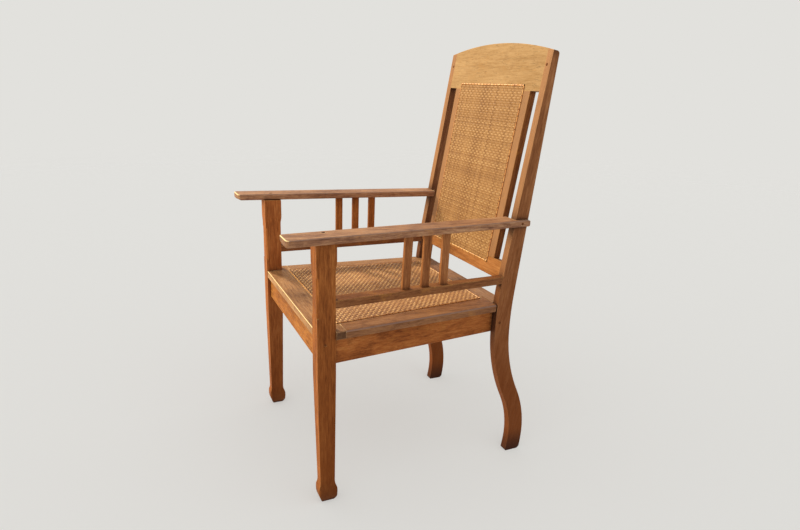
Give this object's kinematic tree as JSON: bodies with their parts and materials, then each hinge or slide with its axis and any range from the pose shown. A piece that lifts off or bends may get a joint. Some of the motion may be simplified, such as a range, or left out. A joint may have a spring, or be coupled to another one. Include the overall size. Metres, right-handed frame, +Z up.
{
  "type": "cane armchair",
  "caption": "Wooden armchair with a raked, arch-topped cane back, a cane seat, long flat arms over slatted sides and S-curved rear legs.",
  "frame": {"origin": "on the floor, under the middle of the chair's bounding box", "axes": "+Z up, the sitter faces -Y (the chair's front), +X is the sitter's left"},
  "size_m": [0.6184, 0.6848, 1.0878],
  "materials": {
    "frame_wood": "old waxed teak, satin",
    "board_wood": "old waxed teak, worn and satin",
    "peg_wood": "dark end grain, dull",
    "cane": "woven rattan cane, satin",
    "cane_edging": "split rattan, satin"
  },
  "bodies": {
    "root": {"apron_pegs": "peg_wood", "arm_lap_pegs": "peg_wood", "arm_left": "board_wood", "arm_right": "board_wood", "arm_slat_1_left": "frame_wood", "arm_slat_1_right": "frame_wood", "arm_slat_2_left": "frame_wood", "arm_slat_2_right": "frame_wood", "arm_slat_3_left": "frame_wood", "arm_slat_3_right": "frame_wood", "arm_top_plugs": "peg_wood", "back_cane_edging": "cane_edging", "back_cane_panel": "cane", "back_muntin_left": "frame_wood", "back_muntin_right": "frame_wood", "back_post_left": "frame_wood", "back_post_right": "frame_wood", "crest_pegs": "peg_wood", "crest_rail": "frame_wood", "front_apron": "frame_wood", "front_leg_left": "frame_wood", "front_leg_pegs": "peg_wood", "front_leg_right": "frame_wood", "lower_back_rail": "frame_wood", "lower_side_rail_left": "frame_wood", "lower_side_rail_right": "frame_wood", "rear_apron": "frame_wood", "seat_cane_edging": "cane_edging", "seat_cane_panel": "cane", "seat_front_board": "board_wood", "seat_rear_board": "board_wood", "seat_side_board_left": "board_wood", "seat_side_board_right": "board_wood", "side_apron_left": "frame_wood", "side_apron_right": "frame_wood"}
  },
  "joints": []
}
